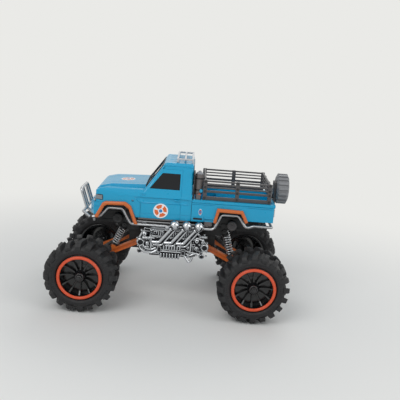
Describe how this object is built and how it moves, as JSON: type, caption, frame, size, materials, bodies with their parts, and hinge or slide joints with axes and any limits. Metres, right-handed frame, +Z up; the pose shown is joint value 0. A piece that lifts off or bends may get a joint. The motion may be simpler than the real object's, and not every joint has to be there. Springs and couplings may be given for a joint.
{
  "type": "toy monster truck",
  "caption": "Toy monster truck: pickup body high over large lugged tyres, with steered front wheels that turn, chrome engine relief, flares, tube rails, bed rack and spare wheel.",
  "frame": {"origin": "on the ground, below the middle of the wheelbase, at the bottom centre of the whole truck's box", "axes": "+X forward along the truck, +Y to its left, +Z up"},
  "size_m": [0.325, 0.206, 0.205],
  "materials": {
    "black_plastic": "moulded ABS, satin",
    "black_gloss": "moulded ABS, gloss",
    "black_glazing": "opaque gloss panels",
    "black_rubber": "moulded soft PVC, matt",
    "grey_rubber": "moulded soft PVC, matt",
    "blue_body": "moulded ABS, gloss light blue",
    "orange_plastic": "moulded ABS, satin orange",
    "grey_plastic": "moulded ABS, satin dark grey",
    "silver_plating": "satin vacuum plating",
    "chrome_plating": "bright vacuum plating",
    "spring_steel": "zinc-plated wire",
    "battery_wrap": "shrink wrap",
    "lamp_clear": "clear moulded lens over silver",
    "lamp_red": "red moulded lens"
  },
  "bodies": {
    "chassis": {"chassis_tray": "black_plastic", "battery_cover": "black_plastic", "battery_pack": "battery_wrap", "chassis_frame": "black_plastic", "front_axle_housing": "black_plastic", "rear_axle_housing": "black_plastic", "link_arms": "orange_plastic", "shock_bodies": "silver_plating", "shock_springs": "spring_steel", "shock_towers": "black_plastic", "drive_shafts": "silver_plating", "cab_shell": "blue_body", "side_windows": "black_glazing", "windscreen": "black_glazing", "rear_window": "black_glazing", "cab_floor": "black_plastic", "grille": "black_plastic", "headlamps": "lamp_clear", "front_flares": "orange_plastic", "rear_flares": "orange_plastic", "cargo_bed": "blue_body", "side_rails": "silver_plating", "bull_bar": "silver_plating", "engine_left": "chrome_plating", "engine_right": "chrome_plating", "side_tanks": "silver_plating", "bed_rack": "grey_plastic", "mist_tank": "grey_plastic", "spare_tyre": "grey_rubber", "spare_carrier": "grey_plastic", "tail_lamps": "lamp_red", "roof_rack": "grey_plastic"},
    "knuckle_left": {"knuckle_fl": "black_plastic"},
    "knuckle_right": {"knuckle_fr": "black_plastic"},
    "tie_rod": {"tie_rod": "silver_plating"},
    "wheel_fl": {"tyre_fl": "black_rubber", "rim_fl": "black_gloss", "bead_ring_fl": "orange_plastic"},
    "wheel_fr": {"tyre_fr": "black_rubber", "rim_fr": "black_gloss", "bead_ring_fr": "orange_plastic"},
    "wheel_rl": {"tyre_rl": "black_rubber", "rim_rl": "black_gloss", "bead_ring_rl": "orange_plastic"},
    "wheel_rr": {"tyre_rr": "black_rubber", "rim_rr": "black_gloss", "bead_ring_rr": "orange_plastic"}
  },
  "joints": [
    {"name": "steer_left", "type": "hinge", "parent": "chassis", "child": "knuckle_left", "pos_m": [0.114, 0.045, 0.0485], "axis": [0, 0, 1], "range_deg": [-20, 20]},
    {"name": "steer_right", "type": "hinge", "parent": "chassis", "child": "knuckle_right", "pos_m": [0.114, -0.045, 0.0485], "axis": [0, 0, 1], "range_deg": [-20, 20]},
    {"name": "tie_rod_swing", "type": "hinge", "parent": "knuckle_left", "child": "tie_rod", "pos_m": [0.094, 0.045, 0.038], "axis": [0, 0, 1], "range_deg": [-20, 20]},
    {"name": "wheel_fl_spin", "type": "hinge", "parent": "knuckle_left", "child": "wheel_fl", "pos_m": [0.114, 0.079, 0.0485], "axis": [0, 1, 0], "continuous": true},
    {"name": "wheel_fr_spin", "type": "hinge", "parent": "knuckle_right", "child": "wheel_fr", "pos_m": [0.114, -0.079, 0.0485], "axis": [0, 1, 0], "continuous": true},
    {"name": "wheel_rl_spin", "type": "hinge", "parent": "chassis", "child": "wheel_rl", "pos_m": [-0.114, 0.079, 0.0485], "axis": [0, 1, 0], "continuous": true},
    {"name": "wheel_rr_spin", "type": "hinge", "parent": "chassis", "child": "wheel_rr", "pos_m": [-0.114, -0.079, 0.0485], "axis": [0, 1, 0], "continuous": true}
  ],
  "couplings": [
    {"joint": "steer_right", "follows": "steer_left", "ratio": 1},
    {"joint": "tie_rod_swing", "follows": "steer_left", "ratio": -1}
  ]
}
